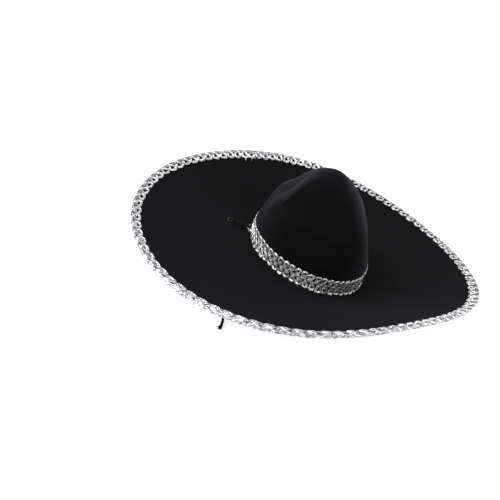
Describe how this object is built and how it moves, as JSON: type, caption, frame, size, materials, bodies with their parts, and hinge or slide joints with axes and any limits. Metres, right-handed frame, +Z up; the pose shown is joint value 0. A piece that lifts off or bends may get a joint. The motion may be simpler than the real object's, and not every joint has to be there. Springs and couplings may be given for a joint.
{
  "type": "sombrero hat",
  "caption": "Wide-brimmed felt hat with a dented crown, silver gimp on the rim and round the crown, and a chin cord with a slider.",
  "frame": {"origin": "centre of the head opening, on the plane of the flat ring the hat stands on", "axes": "+Z up through the crown, -Y towards the front of the hat, +X to the right of somebody looking at its front"},
  "size_m": [0.5568, 0.4686, 0.15],
  "materials": {
    "felt": "matte pressed felt",
    "board": "bonded fibre stiffening board",
    "wire": "spring steel wire",
    "gimp": "metallised silver gimp",
    "tape": "ribbed cotton tape",
    "eyelet": "black enamelled brass",
    "cord": "braided polyester cord",
    "plastic": "fine matte"
  },
  "bodies": {
    "hat": {"crown": "felt", "brim_top_felt": "felt", "brim_board": "board", "brim_under_felt": "felt", "rim_wire": "wire", "rim_gimp": "gimp", "crown_gimp": "gimp", "sweatband": "tape", "eyelet_left": "eyelet", "eyelet_right": "eyelet", "chin_cord_crown": "cord", "chin_cord_left": "cord", "knot_left": "cord", "cord_tail_left": "cord", "chin_cord_right": "cord", "knot_right": "cord", "cord_tail_right": "cord"},
    "slider": {"cord_slider": "plastic"}
  },
  "joints": [
    {"name": "slider_slide", "type": "slide", "parent": "hat", "child": "slider", "axis": [0, -1, 0], "range_m": [-0.025, 0.025]}
  ]
}
